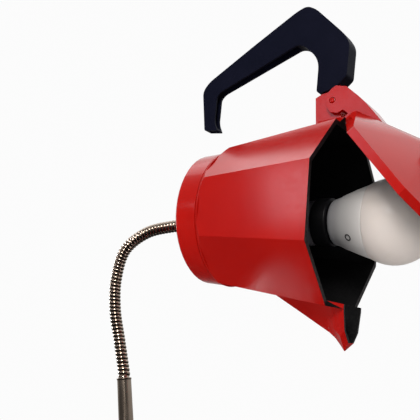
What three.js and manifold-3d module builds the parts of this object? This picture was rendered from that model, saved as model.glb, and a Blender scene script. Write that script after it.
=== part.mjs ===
// A desk lamp made from an octagonal stove-top coffee pot. The pot's upper chamber lies on its side as
// the shade, its lid stands half open over the bulb, and the pot's boiler is the weighted base.
// A flexible neck joins the two. Millimetres, +Z up, the shade towards +X, and the origin at the
// middle of the base's rest face.

import * as THREE from 'three';
import { mergeVertices } from 'three/addons/utils/BufferGeometryUtils.js';
import Module from 'manifold-3d';

const wasm = await Module();
wasm.setup();

// ---- driving dimensions ----

const GAP = 0.3; // clearance between pieces that touch
const BORE = 3.2; // radius of the wire way through the fittings
const THREAD = 5; // radius of the lamp thread

// the shade, in the head's own frame: x runs from the collar to the mouth, which is at x = 0
const MOUTH_APOTHEM = 52.5;
const COLLAR_APOTHEM = 41.7;
const SHADE_LENGTH = 73;
const COLLAR_LENGTH = 19;
const COLLAR_FRONT_X = -75.4;
const COLLAR_FRONT_RADIUS = 41.8;
const COLLAR_BACK_RADIUS = 40.6;
const FACET_STEP = 3.75; // degrees, half a side of the turned surfaces
const SHOULDER_X = -69.4; // the facets' corners are turned down to the collar behind this
const BASE_SHOULDER_RADIUS = 44.5;
const COLLAR_BORE = 36;
const WALL = 3;
const FLOOR_BACK = -77;
const FLOOR_FRONT = -73.5;
const HUB_DROP = 3; // the wire hole is drilled this far below the shade's axis

// the spout at the bottom of the mouth
const SPOUT_BACK = -41;
const SPOUT_FRONT = 7;
const SPOUT_HALF_WIDTH = 13;

// the hinge at the top of the mouth
const HINGE_X = -8.1;
const HINGE_Z = 68;
const PIN_RADIUS = 1.6;
const PIN_HOLE = PIN_RADIUS + GAP;
const BRACKET_HALF_WIDTH = 7;
const EAR_INNER = BRACKET_HALF_WIDTH + 0.35;
const EAR_OUTER = 10.2;

// the lid, measured shut, then turned open about the hinge
const LID_OPEN = THREE.MathUtils.degToRad(40.2);
const LID_APOTHEM = 52.5;
const LID_RIM_X = -8.7;
const LID_AXIS_Z = 1.8;
const LID_LIP = 4.6;
const LID_WALL = 2.2;
const LID_SLOPE = 0.47;
const LID_SEAT_RADIUS = 13;
const LID_CHORD = [[53.4, 21.3], [10.4, 51.2]]; // [y, z] ends of the cut across a corner beside the hinge
const LID_REACH = [-3, 34]; // x from before the rim to past the seat
const PAST_LID = 62; // further out than any part of the lid

// the handle
const HANDLE_HALF_WIDTH = 5.5; // at the root; the grip narrows towards its tip
const HANDLE_TIP_HALF_WIDTH = 3.4;
const HANDLE_ROOT_X = -5;
const HANDLE_TIP_X = -100;
const HANDLE_PIN_X = -11.5;
const HANDLE_PIN_Z = 83;
const HANDLE_PIN_HALF = 4; // the pin is moulded in, so its ends don't show
const TENON_HALF_WIDTH = 2.6;

// the lampholder and the bulb, on the hub's axis
const HOLDER_RADIUS = 13.4;
const HOLDER_BORE = 8.5;
const BULB_BACK = -6.2;
const BULB_BACK_RADIUS = 13.2;
const BULB_SEAM_X = 17;
const BULB_SEAM_RADIUS = 21.2;
const GLOBE_X = 28.5;
const GLOBE_RADIUS = 24.3;

// the neck: a chain of short links, each turning on the ball at its lower end
const HOSE_RADIUS = 4;
const HOSE_BORE = 2.4;
const HEAD_BALL_X = -102;

// the base
const FOOT_THICKNESS = 2.2;
const BOILER_BOTTOM = 1;
const BOILER_TOP = 64;
const BOILER_APOTHEM = 50;
const BOILER_NECK_RADIUS = 35;
const BOILER_NECK_BORE = 31;
const BOILER_NECK_TOP = 86;
const CAP_RADIUS = 39.5;
const CAP_THICKNESS = 4;
const STEM_TOP = 165;
const STEM_TOP_RADIUS = 4.6;
const GLAND_Z = 40;

// where the head is, and how far it looks down
const HEAD_PITCH = THREE.MathUtils.degToRad(11);
const HEAD_POSITION = new THREE.Vector3(166.8, 0, 239.5);

// ---- colours and finishes ----

const finish = (color, roughness, metalness) => new THREE.MeshStandardMaterial({ color, roughness, metalness });
const RED = finish(0xb3121c, 0.18, 0.0);
const BLACK_PLASTIC = finish(0x14161c, 0.45, 0.0);
const DARK_GLOSS = finish(0x1d1c20, 0.2, 0.0);
const OPAL = finish(0xf2ece2, 0.35, 0.0);
const WHITE_PLASTIC = finish(0xd9d5cf, 0.5, 0.0);
const NICKEL = finish(0xb9b2a6, 0.25, 1.0);
const ALUMINIUM = finish(0xc6c7c9, 0.4, 1.0);
const STEEL = finish(0x9a9a9c, 0.35, 1.0);
const BRASS = finish(0xc59a45, 0.3, 1.0);
const IRON = finish(0x3c3d40, 0.7, 1.0);
const RUBBER = finish(0x2a2a2a, 0.8, 0.0);
const CERAMIC = finish(0xe9e6dd, 0.5, 0.0);
const BOARD = finish(0xe8e8e4, 0.6, 0.0);

// ---- solids ----

// a closed solid from a three.js geometry, with its faces pointing out
function solidOf(geometry) {
  const bare = geometry.clone();
  bare.deleteAttribute('normal');
  bare.deleteAttribute('uv');
  const merged = mergeVertices(bare, 1e-4);
  const corners = merged.index.array;
  const kept = [];
  for (let i = 0; i < corners.length; i += 3) {
    const [a, b, c] = [corners[i], corners[i + 1], corners[i + 2]];
    if (a !== b && b !== c && c !== a) kept.push(a, b, c);
  }
  const places = merged.attributes.position;
  const corner = (index) => new THREE.Vector3().fromBufferAttribute(places, index);
  let volume = 0;
  for (let i = 0; i < kept.length; i += 3) {
    volume += corner(kept[i]).dot(corner(kept[i + 1]).cross(corner(kept[i + 2])));
  }
  if (volume < 0) kept.reverse();
  const vertProperties = Float32Array.from(places.array);
  return new wasm.Manifold(new wasm.Mesh({ numProp: 3, vertProperties, triVerts: Uint32Array.from(kept) }));
}

// a solid turned about +Z from [radius, height] points, its profile closed on the axis or on itself
function turned(profile, sides = 24) {
  const points = profile.map(([radius, height]) => new THREE.Vector2(radius, height));
  const first = points[0];
  if (first.x > 0) points.push(first.clone());
  const start = sides === 8 ? Math.PI / 8 : 0;
  return solidOf(new THREE.LatheGeometry(points, sides, start).rotateX(Math.PI / 2));
}

// the same about the head's +X axis, with a height that is an x
function turnedX(profile, sides = 24) {
  return turned(profile, sides).rotate([0, 90, 0]);
}

// a plate with an outline of [x, z] points, between two values of y
function plate(outline, fromY, toY) {
  const shape = new THREE.Shape(outline.map(([x, z]) => new THREE.Vector2(x, z)));
  const geometry = new THREE.ExtrudeGeometry(shape, { depth: toY - fromY, bevelEnabled: false });
  return solidOf(geometry.rotateX(Math.PI / 2)).translate([0, toY, 0]);
}

// a solid between matching rings of [x, y, z] points, capped at both ends
function loft(rings) {
  const count = rings[0].length;
  const triangles = [];
  for (let r = 0; r + 1 < rings.length; r += 1) {
    for (let i = 0; i < count; i += 1) {
      const j = (i + 1) % count;
      triangles.push(rings[r][i], rings[r + 1][i], rings[r + 1][j]);
      triangles.push(rings[r][i], rings[r + 1][j], rings[r][j]);
    }
  }
  const first = rings[0];
  const last = rings[rings.length - 1];
  for (let i = 1; i + 1 < count; i += 1) {
    triangles.push(first[0], first[i], first[i + 1]);
    triangles.push(last[0], last[i + 1], last[i]);
  }
  const geometry = new THREE.BufferGeometry();
  geometry.setAttribute('position', new THREE.Float32BufferAttribute(triangles.flat(), 3));
  return solidOf(geometry);
}

// a round bar across the head at an (x, z), between two values of y
function crossBar(radius, x, z, halfLength, sides = 16) {
  return turned([[0, -halfLength], [radius, -halfLength], [radius, halfLength], [0, halfLength]], sides)
    .rotate([90, 0, 0]).translate([x, 0, z]);
}

const cornerOf = (apothem) => apothem / Math.cos(Math.PI / 8);

function rod(radius, bottom, top, sides = 24) {
  return turned([[0, bottom], [radius, bottom], [radius, top], [0, top]], sides);
}

function tube(radius, hole, bottom, top, sides = 24) {
  return turned([[hole, bottom], [radius, bottom], [radius, top], [hole, top]], sides);
}

// a hexagonal bar about +Z, by its size across the flats
function hexagon(acrossFlats, bottom, top) {
  return rod(acrossFlats / Math.sqrt(3), bottom, top, 6);
}

function hexNut(acrossFlats, bottom, top, hole) {
  return hexagon(acrossFlats, bottom, top).subtract(rod(hole, bottom - 1, top + 1));
}

// points on an arc of a circle of the given radius about [cx, cy], by angles in degrees
function arc(radius, fromDegrees, toDegrees, steps, cx = 0, cy = 0) {
  const points = [];
  for (let i = 0; i <= steps; i += 1) {
    const angle = THREE.MathUtils.degToRad(fromDegrees + ((toDegrees - fromDegrees) * i) / steps);
    points.push([cx + radius * Math.cos(angle), cy + radius * Math.sin(angle)]);
  }
  return points;
}

// ---- the scene graph ----

const lamp = new THREE.Group();
const head = new THREE.Group();
head.position.copy(HEAD_POSITION);
head.rotation.y = HEAD_PITCH;
lamp.add(head);
const hub = new THREE.Group();
hub.position.z = -HUB_DROP;
head.add(hub);

function add(group, name, solid, material) {
  const data = solid.getMesh();
  const geometry = new THREE.BufferGeometry();
  geometry.setAttribute('position', new THREE.BufferAttribute(Float32Array.from(data.vertProperties), 3));
  geometry.setIndex(new THREE.BufferAttribute(Uint32Array.from(data.triVerts), 1));
  geometry.computeVertexNormals();
  const mesh = new THREE.Mesh(geometry, material);
  mesh.name = name;
  group.add(mesh);
  return mesh;
}

// ---- upper chamber: the shade ----

// how far the bottom facet is below the shade's axis
const bottomFacet = (x) => MOUTH_APOTHEM + ((MOUTH_APOTHEM - COLLAR_APOTHEM) * x) / SHADE_LENGTH;

// the spout is a loft of V sections; inset shrinks it to the hollow inside
function spoutLoft(inset, back, front) {
  const keel = (x) => {
    const straight = -46.4 - (x - SPOUT_BACK) * 0.558;
    const hook = Math.max(0, x + 5.7);
    return straight - 0.055 * hook * hook;
  };
  const ring = (x, low, halfLow) => {
    const halfWidth = (SPOUT_HALF_WIDTH * (x - SPOUT_BACK)) / (SPOUT_FRONT - SPOUT_BACK);
    const half = Math.max(halfWidth - inset, 1);
    const top = -40 + inset;
    const root = -bottomFacet(x) + 0.3;
    const fullness = 0.34 + 0.34 * Math.max(0, (x + 12) / 19);
    const middle = halfLow + (half - halfLow) * fullness;
    const middleZ = root + 0.66 * (low - root);
    const right = [[x, half, top], [x, half, root], [x, middle, middleZ], [x, halfLow, low]];
    const left = right.map(([, y, z]) => [x, -y, z]);
    return [...left, ...right.reverse()];
  };
  const rise = inset * 1.35;
  const rings = [back, -24, -12, -5.7, -2, 1.5].map((x) => ring(x, Math.min(keel(x) + rise, -bottomFacet(x) - 0.1), 0.6));
  rings.push(ring(3.5, -75.6 + rise, 0.6));
  rings.push(ring(front, -71 + rise, Math.max(4.2 - inset, 0.6)));
  return loft(rings);
}

function buildUpperChamber() {
  const octagonBack = COLLAR_FRONT_X;
  const octagon = turnedX([
    [0, octagonBack], [cornerOf(bottomFacet(octagonBack)), octagonBack], [cornerOf(MOUTH_APOTHEM), 0], [0, 0],
  ], 8);
  const envelope = turnedX([
    [0, COLLAR_FRONT_X - 2], [COLLAR_FRONT_RADIUS - 1.4, COLLAR_FRONT_X - 2],
    [COLLAR_FRONT_RADIUS + 5.8, SHOULDER_X],
    [70, SHOULDER_X + 22], [70, 1], [0, 1],
  ], 48).rotate([FACET_STEP, 0, 0]);
  const outer = octagon.intersect(envelope);
  const inner = turnedX([
    [0, FLOOR_FRONT], [cornerOf(COLLAR_APOTHEM - WALL) - 2, FLOOR_FRONT], [cornerOf(MOUTH_APOTHEM - WALL), 0.02],
    [cornerOf(MOUTH_APOTHEM - WALL), 20], [0, 20],
  ], 8);
  const back = -SHADE_LENGTH - COLLAR_LENGTH;
  const collar = turnedX([
    [0, back], [COLLAR_BACK_RADIUS - 1.4, back], [COLLAR_BACK_RADIUS, back + 1.4],
    [COLLAR_FRONT_RADIUS, COLLAR_FRONT_X - 1.4], [COLLAR_FRONT_RADIUS - 1.2, COLLAR_FRONT_X - 0.8],
    [COLLAR_FRONT_RADIUS - 1.2, COLLAR_FRONT_X + 1.5], [0, COLLAR_FRONT_X + 1.5],
  ], 48);
  const bore = turnedX([[0, back - 1], [COLLAR_BORE, back - 1], [COLLAR_BORE, FLOOR_BACK], [0, FLOOR_BACK]], 48);
  const wireHole = turnedX([
    [0, -90], [THREAD + GAP, -90], [THREAD + GAP, -60], [0, -60],
  ]).translate([0, 0, -HUB_DROP]);

  // the mouth's bottom edge runs forward to the spout's two sides
  const lip = loft([
    [[-8, -20.4, -51], [-8, 20.4, -51], [-8, 19.4, -48.4], [-8, -19.4, -48.4]],
    [[0, -21, -52.4], [0, 21, -52.4], [0, 20, -49.6], [0, -20, -49.6]],
    [[SPOUT_FRONT, -SPOUT_HALF_WIDTH, -53.4], [SPOUT_FRONT, SPOUT_HALF_WIDTH, -53.4],
      [SPOUT_FRONT, SPOUT_HALF_WIDTH, -50.6], [SPOUT_FRONT, -SPOUT_HALF_WIDTH, -50.6]],
  ]);
  const aboveLip = plate([[-1, -50.2], [SPOUT_FRONT + 2, -51.2], [SPOUT_FRONT + 2, -30], [-1, -30]], -30, 30);
  const spout = spoutLoft(0, SPOUT_BACK, SPOUT_FRONT).subtract(aboveLip.translate([1.05, 0, 0]));
  const spoutHollow = spoutLoft(1.7, SPOUT_BACK + 8, SPOUT_FRONT + 3);

  const bracket = plate([
    [-18.5, 46], [-20.3, 71.4], [-16.5, 73.4], [-9, 75], [-4, 74.2], [-1.8, 70.5], [-1.8, 66], [-3.5, 62],
    [-3.5, 49.8],
  ], -BRACKET_HALF_WIDTH, BRACKET_HALF_WIDTH);
  const tenon = plate([[-17, 70], [-17, 89], [-7, 89], [-7, 70]], -TENON_HALF_WIDTH, TENON_HALF_WIDTH);
  return outer.add(collar).add(spout).add(lip).add(bracket).add(tenon).add(buildGusset(-1)).add(buildGusset(1))
    .subtract(inner).subtract(bore).subtract(wireHole).subtract(spoutHollow)
    .subtract(crossBar(PIN_HOLE, HINGE_X, HINGE_Z, 20))
    .subtract(crossBar(PIN_HOLE, HANDLE_PIN_X, HANDLE_PIN_Z, 20));
}

// the flare that joins the bracket's side to the facet beside it; side is -1 or 1
function buildGusset(side) {
  const nearBracket = [
    [-18, side * 6.6, 57], [-0.6, side * 6.6, 58.6], [-0.6, side * 6.6, 49.4], [-18, side * 6.6, 46.4],
  ];
  const onFacet = [
    [-2.6, side * 34.6, 38.4], [-0.6, side * 35.1, 38.5], [-0.6, side * 34.2, 37.2], [-2.6, side * 33.8, 37],
  ];
  return loft([nearBracket, onFacet]);
}
add(head, 'upper_chamber', buildUpperChamber(), RED);

// ---- lid, knob and hinge pin ----

const lidGroup = new THREE.Group();
lidGroup.position.set(HINGE_X, 0, HINGE_Z);
lidGroup.rotation.y = -LID_OPEN;
head.add(lidGroup);

// turns a solid built on the shut lid's axis into the lid group's frame, whose origin is the hinge
const onLid = (solid) => solid.translate([LID_RIM_X - HINGE_X, 0, LID_AXIS_Z - HINGE_Z]);
const roofHeight = (radius) => LID_LIP + LID_SLOPE * (LID_APOTHEM - radius);
const SEAT_TOP = roofHeight(LID_SEAT_RADIUS) + 1;

// what is outside the chord that cuts off a corner of the lid beside the hinge; side is -1 or 1
function outsideChord(side, inset) {
  const [[flatY, flatZ], [topY, topZ]] = LID_CHORD;
  const length = Math.hypot(flatY - topY, topZ - flatZ);
  const insetY = (inset * (topZ - flatZ)) / length;
  const insetZ = (inset * (flatY - topY)) / length;
  const section = (x) => [
    [x, side * (flatY - insetY), flatZ - insetZ], [x, side * (topY - insetY), topZ - insetZ],
    [x, side * (topY - insetY), PAST_LID], [x, side * PAST_LID, PAST_LID], [x, side * PAST_LID, flatZ - insetZ],
  ];
  return loft(LID_REACH.map(section));
}

function buildLid() {
  const outer = turnedX([
    [0, 0], [cornerOf(LID_APOTHEM), 0], [cornerOf(LID_APOTHEM), LID_LIP],
    [cornerOf(LID_SEAT_RADIUS), roofHeight(LID_SEAT_RADIUS)], [0, roofHeight(LID_SEAT_RADIUS)],
  ], 8);
  const inner = turnedX([
    [0, -1], [cornerOf(LID_APOTHEM - LID_WALL), -1], [cornerOf(LID_APOTHEM - LID_WALL), LID_LIP - 1.2],
    [cornerOf(LID_SEAT_RADIUS), roofHeight(LID_SEAT_RADIUS) - LID_WALL - 1.2],
    [0, roofHeight(LID_SEAT_RADIUS) - LID_WALL - 1.2],
  ], 8);
  const seatRadius = LID_SEAT_RADIUS - 1;
  const seat = turnedX([[0, 18], [seatRadius, 18], [seatRadius, SEAT_TOP], [0, SEAT_TOP]]);
  const screwHole = turnedX([[0, 0], [2.3, 0], [2.3, 40], [0, 40]], 16);
  const cut = outer.add(seat).subtract(screwHole).subtract(outsideChord(-1, 0)).subtract(outsideChord(1, 0));
  const roof = onLid(cut);
  const hollow = inner.subtract(outsideChord(-1, LID_WALL)).subtract(outsideChord(1, LID_WALL));

  // the two ears and the web that joins them, drawn with the lid open as it stands
  const earOutline = [
    [-3.9, 1.6], [-2.9, 4.9], [-0.6, 7.4], [1.9, 8.8], [8.4, 7.6], [16, 1], [21.5, -4.5], [30, -15.4],
    [11.2, -10.4], [9.6, -8.4], [7, -6.4], [3.6, -8], [-0.8, -7.4], [-3.6, -3.8],
  ];
  const webOutline = [[16, 1], [21.5, -4.5], [31, -16.2], [24, -14.4], [11.6, -9.2]];
  const ears = plate(earOutline, -EAR_OUTER, -EAR_INNER).add(plate(earOutline, EAR_INNER, EAR_OUTER));
  const web = plate(webOutline, -EAR_INNER - 1, EAR_INNER + 1);
  const hingePart = ears.add(web).rotate([0, THREE.MathUtils.radToDeg(LID_OPEN), 0]);
  return roof.add(hingePart).subtract(onLid(hollow)).subtract(crossBar(PIN_HOLE, 0, 0, 20));
}
add(lidGroup, 'lid', buildLid(), RED);

function buildKnob() {
  const bottom = SEAT_TOP + GAP;
  const knob = turnedX([
    [0, bottom], [8.5, bottom], [6.6, bottom + 3], [6.8, bottom + 5.5], [10.6, bottom + 9],
    [11, bottom + 12], [9.6, bottom + 14.6], [4.5, bottom + 16], [0, bottom + 16.2],
  ]);
  const screwHole = turnedX([[0, bottom - 1], [2.3, bottom - 1], [2.3, bottom + 9], [0, bottom + 9]], 16);
  return onLid(knob.subtract(screwHole));
}
add(lidGroup, 'lid_knob', buildKnob(), BLACK_PLASTIC);

function buildKnobScrew() {
  const ceiling = roofHeight(LID_SEAT_RADIUS) - LID_WALL - 1.2 - GAP;
  return onLid(turnedX([
    [0, ceiling - 2.4], [2.4, ceiling - 2.2], [3.9, ceiling - 1], [4, ceiling], [2, ceiling],
    [2, SEAT_TOP + 8], [0, SEAT_TOP + 8],
  ], 16));
}
add(lidGroup, 'lid_knob_screw', buildKnobScrew(), STEEL);
add(head, 'hinge_pin', crossBar(PIN_RADIUS, HINGE_X, HINGE_Z, EAR_OUTER + 0.2), RED);

// ---- handle ----

// narrows a plate evenly from the root of the handle to its tip
function tapered(solid) {
  const slope = (1 - HANDLE_TIP_HALF_WIDTH / HANDLE_HALF_WIDTH) / (HANDLE_ROOT_X - HANDLE_TIP_X);
  return solid.warp((point) => {
    point[1] *= 1 - slope * (HANDLE_ROOT_X - point[0]);
  });
}

function buildHandle() {
  const outline = [
    [-100.9, 59.1], [-104.6, 83.5], [-103.8, 88.6], [-100.2, 92.4], [-68.3, 112.5], [-37.9, 130.9],
    [-34.5, 132.8], [-31, 133.4], [-27.5, 132.4], [-24.5, 130.2], [-5.2, 111.2], [-2.4, 107.6], [-1.2, 103.2],
    [-1.9, 84.3], [-4.3, 82], [-9, 77.6], [-18.5, 74.9], [-21, 76.3], [-20.7, 93.8], [-22.3, 98.6], [-26.8, 103.3],
    [-31.5, 106.6], [-36, 108.3], [-90.5, 84.6], [-93, 81.8], [-93.7, 64.5], [-90.9, 58.4],
  ];
  const channel = [
    [-98.6, 52], [-101.2, 84], [-98.6, 88.6], [-66, 109.2], [-36, 126.4], [-31, 124], [-31, 112],
    [-36, 107.4], [-90.5, 83.9], [-92.3, 81.4], [-92.8, 64.5], [-88, 52],
  ];
  const slotEnd = 89 + GAP;
  const slot = plate([[-17 - GAP, 68], [-17 - GAP, slotEnd], [-7 + GAP, slotEnd], [-7 + GAP, 68]],
    -TENON_HALF_WIDTH - GAP, TENON_HALF_WIDTH + GAP);
  return tapered(plate(outline, -HANDLE_HALF_WIDTH, HANDLE_HALF_WIDTH))
    .subtract(tapered(plate(channel, -HANDLE_HALF_WIDTH + 2.2, HANDLE_HALF_WIDTH - 2.2)))
    .subtract(slot)
    .subtract(crossBar(PIN_HOLE, HANDLE_PIN_X, HANDLE_PIN_Z, HANDLE_PIN_HALF + GAP));
}
add(head, 'handle', buildHandle(), BLACK_PLASTIC);
add(head, 'handle_pin', crossBar(PIN_RADIUS, HANDLE_PIN_X, HANDLE_PIN_Z, HANDLE_PIN_HALF), STEEL);

// ---- collar end: gasket, filter plate and the fittings on the wire way ----

function buildGasket() {
  const top = FLOOR_BACK - GAP;
  return turnedX([[28, top - 3], [COLLAR_BORE - GAP, top - 3], [COLLAR_BORE - GAP, top], [28, top]], 36);
}
add(head, 'gasket', buildGasket(), RUBBER);

const PLATE_FRONT = FLOOR_BACK - GAP - 3 - GAP;
const PLATE_BACK = PLATE_FRONT - 1.4;

function buildFilterPlate() {
  const radius = COLLAR_BORE - GAP;
  const disc = turnedX([
    [0, PLATE_BACK], [radius - 4, PLATE_BACK], [radius - 3.4, PLATE_BACK - 0.6], [radius, PLATE_BACK - 0.6],
    [radius, PLATE_FRONT], [0, PLATE_FRONT],
  ], 36);
  const hole = turnedX([[0, -100], [THREAD + GAP, -100], [THREAD + GAP, -60], [0, -60]]);
  return disc.subtract(hole.translate([0, 0, -HUB_DROP]));
}
add(head, 'filter_plate', buildFilterPlate(), ALUMINIUM);

const FITTING_FRONT = PLATE_BACK - GAP;

function buildNeckFitting() {
  const hexBack = FITTING_FRONT - 6;
  const wireAngle = THREE.MathUtils.radToDeg(Math.acos(HOSE_BORE / HOSE_RADIUS));
  const body = turnedX([
    [THREAD + GAP, FITTING_FRONT], [7.2, FITTING_FRONT], [7.2, hexBack], [5.1, hexBack - 2],
    [STEM_TOP_RADIUS, -98], [HOSE_RADIUS, -98], ...arc(HOSE_RADIUS, 0, -wireAngle, 4, 0, HEAD_BALL_X),
    [HOSE_BORE, hexBack + 1], [THREAD + GAP, hexBack + 1],
  ]);
  const nut = hexagon(17, hexBack + 0.5, FITTING_FRONT - 0.5).subtract(rod(6.4, hexBack - 1, FITTING_FRONT + 1, 16));
  return body.add(nut.rotate([0, 90, 0]));
}
add(hub, 'neck_end_fitting', buildNeckFitting(), NICKEL);

const NIPPLE_FRONT = -58;
const alongHub = (solid) => solid.rotate([0, 90, 0]);
add(hub, 'threaded_nipple', alongHub(tube(THREAD, BORE, FITTING_FRONT - 4.5, NIPPLE_FRONT)), BRASS);
add(hub, 'nipple_washer', alongHub(tube(9.5, THREAD + GAP, FLOOR_FRONT + GAP, FLOOR_FRONT + 1.8)), STEEL);
const NUT_BACK = FLOOR_FRONT + 1.8 + GAP;
add(hub, 'nipple_nut', alongHub(hexNut(14, NUT_BACK, NUT_BACK + 3.5, THREAD + GAP)), BRASS);

// ---- lampholder ----

function buildHolderCap() {
  const back = NUT_BACK + 3.5 + GAP;
  return turnedX([
    [THREAD + GAP, back], [7.6, back], [8.4, back + 3], [11.8, back + 7], [HOLDER_RADIUS, back + 11],
    [HOLDER_RADIUS, -48], [HOLDER_RADIUS - 2.4, -48], [HOLDER_RADIUS - 2.4, back + 13],
    [THREAD + GAP, back + 10],
  ]);
}
add(hub, 'lampholder_cap', buildHolderCap(), DARK_GLOSS);

const RING_BACK = -16.5;
function buildHolderBody() {
  return turnedX([
    [HOLDER_BORE, -47.7], [HOLDER_RADIUS, -47.7], [HOLDER_RADIUS, -44], [HOLDER_RADIUS + 0.6, -43.2],
    [HOLDER_RADIUS + 0.6, -41.6], [HOLDER_RADIUS, -40.8], [HOLDER_RADIUS, RING_BACK - GAP],
    [HOLDER_BORE, RING_BACK - GAP],
  ]);
}
add(hub, 'lampholder_body', buildHolderBody(), DARK_GLOSS);
add(hub, 'lampholder_ring', alongHub(tube(14.3, HOLDER_BORE, RING_BACK, BULB_BACK - 0.6)), BLACK_PLASTIC);
add(hub, 'lampholder_core', alongHub(tube(HOLDER_BORE - GAP, 1.8, -45, -33)), CERAMIC);
add(hub, 'thread_sleeve', alongHub(tube(HOLDER_BORE - GAP, 7.4, -32.5, RING_BACK)), BRASS);

// the sprung tongue that meets the bulb's tip, riveted in the core's hole
add(hub, 'centre_contact', alongHub(
  rod(1.5, -46, -32.6, 16).add(turned([[0, -32.7], [3.6, -32.7], [2.6, -31.6], [0, -31.2]], 16)),
), BRASS);

// ---- bulb ----

function buildBulbHousing() {
  const wall = 1.8;
  const seamInner = BULB_SEAM_RADIUS - wall;
  return turnedX([
    [6, BULB_BACK], [BULB_BACK_RADIUS - 0.8, BULB_BACK], [BULB_BACK_RADIUS, BULB_BACK + 0.8],
    [15.6, 1], [18.6, 9], [BULB_SEAM_RADIUS, BULB_SEAM_X], [seamInner, BULB_SEAM_X], [16.6, 9], [13.6, 1],
    [11, BULB_BACK + 2], [6, BULB_BACK + 2],
  ], 32);
}
add(hub, 'bulb_housing', buildBulbHousing(), WHITE_PLASTIC);

function buildGlobe() {
  const seamX = BULB_SEAM_X + GAP;
  const innerRadius = GLOBE_RADIUS - 1.6;
  const seamAngle = (radius) => THREE.MathUtils.radToDeg(Math.asin((seamX - GLOBE_X) / radius));
  const outside = arc(GLOBE_RADIUS, seamAngle(GLOBE_RADIUS), 90, 10, 0, GLOBE_X);
  const inside = arc(innerRadius, 90, seamAngle(innerRadius), 7, 0, GLOBE_X);
  outside[outside.length - 1][0] = 0;
  inside[0][0] = 0;
  return turnedX([...inside, ...outside], 28);
}
add(hub, 'bulb_globe', buildGlobe(), OPAL);

add(hub, 'bulb_screw_cap', alongHub(tube(6.9, 6, -26, BULB_BACK - GAP)), STEEL);
add(hub, 'bulb_insulator', alongHub(turned([
  [2.6, -26.3], [6.5, -26.3], [5.4, -28.6], [2.6, -29.4],
])), BLACK_PLASTIC);
add(hub, 'bulb_tip', alongHub(turned([[0, -30.6], [1.8, -30.3], [2.3, -29.4], [2.3, -26.5], [0, -26.5]], 16)), BRASS);
add(hub, 'led_board', alongHub(rod(17.4, 13.4, 15)), BOARD);
add(hub, 'led_driver', solidOf(new THREE.BoxGeometry(22, 9, 7)).translate([1.8, 0, 0]), BOARD);

// ---- neck ----

// the hinge points from the stem to the head, as [x, z] above the stem's top
const headBall = new THREE.Vector3(HEAD_BALL_X, 0, -HUB_DROP).applyEuler(head.rotation).add(HEAD_POSITION);
const NECK_POINTS = [
  [0, 4.5], [-2.5, 25], [-5, 46], [-3, 66.5], [6, 85], [24.5, 93.5], [45.5, 93.8],
].map(([x, z]) => new THREE.Vector3(x, 0, STEM_TOP + z));
NECK_POINTS.push(headBall);

function buildLink(length) {
  const bore = THREE.MathUtils.radToDeg(Math.acos(HOSE_BORE / HOSE_RADIUS));
  const end = length - HOSE_RADIUS - GAP;
  return turned([...arc(HOSE_RADIUS, -bore, 0, 3), [HOSE_RADIUS, end], [HOSE_BORE, end]], 16);
}

for (let i = 0; i + 1 < NECK_POINTS.length; i += 1) {
  const along = NECK_POINTS[i + 1].clone().sub(NECK_POINTS[i]);
  const link = add(lamp, `neck_link_${i + 1}`, buildLink(along.length()), NICKEL);
  link.position.copy(NECK_POINTS[i]);
  link.rotation.y = Math.atan2(along.x, along.z);
}

// ---- stem ----

const CAP_TOP = BOILER_NECK_TOP + GAP + CAP_THICKNESS;
const COLLAR_TOP = CAP_TOP + 9;

function buildStem() {
  return turned([
    [BORE, 66], [THREAD, 66], [THREAD, COLLAR_TOP + GAP], [THREAD + 0.1, COLLAR_TOP + 4],
    [STEM_TOP_RADIUS, STEM_TOP - 0.8], [STEM_TOP_RADIUS + 0.3, STEM_TOP - 0.6], [STEM_TOP_RADIUS + 0.3, STEM_TOP],
    [BORE, STEM_TOP],
  ]);
}
add(lamp, 'stem', buildStem(), NICKEL);

add(lamp, 'stem_collar', turned([
  [THREAD + GAP, CAP_TOP + GAP], [12, CAP_TOP + GAP], [12, CAP_TOP + 2.4], [8.6, CAP_TOP + 4.2],
  [7.4, COLLAR_TOP - 1], [6.6, COLLAR_TOP], [THREAD + GAP, COLLAR_TOP],
]), NICKEL);
const CAP_UNDERSIDE = BOILER_NECK_TOP + GAP;
add(lamp, 'stem_washer', tube(10, THREAD + GAP, CAP_UNDERSIDE - GAP - 1.5, CAP_UNDERSIDE - GAP), STEEL);
add(lamp, 'stem_nut', hexNut(14, CAP_UNDERSIDE - 6, CAP_UNDERSIDE - 2.2, THREAD + GAP), BRASS);

// ---- base ----

const boilerApothemAt = (z) => (
  BOILER_APOTHEM + ((COLLAR_APOTHEM - BOILER_APOTHEM) * (z - BOILER_BOTTOM)) / (BOILER_TOP - BOILER_BOTTOM)
);
const wallLean = Math.atan((BOILER_APOTHEM - COLLAR_APOTHEM) / (BOILER_TOP - BOILER_BOTTOM));

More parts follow.
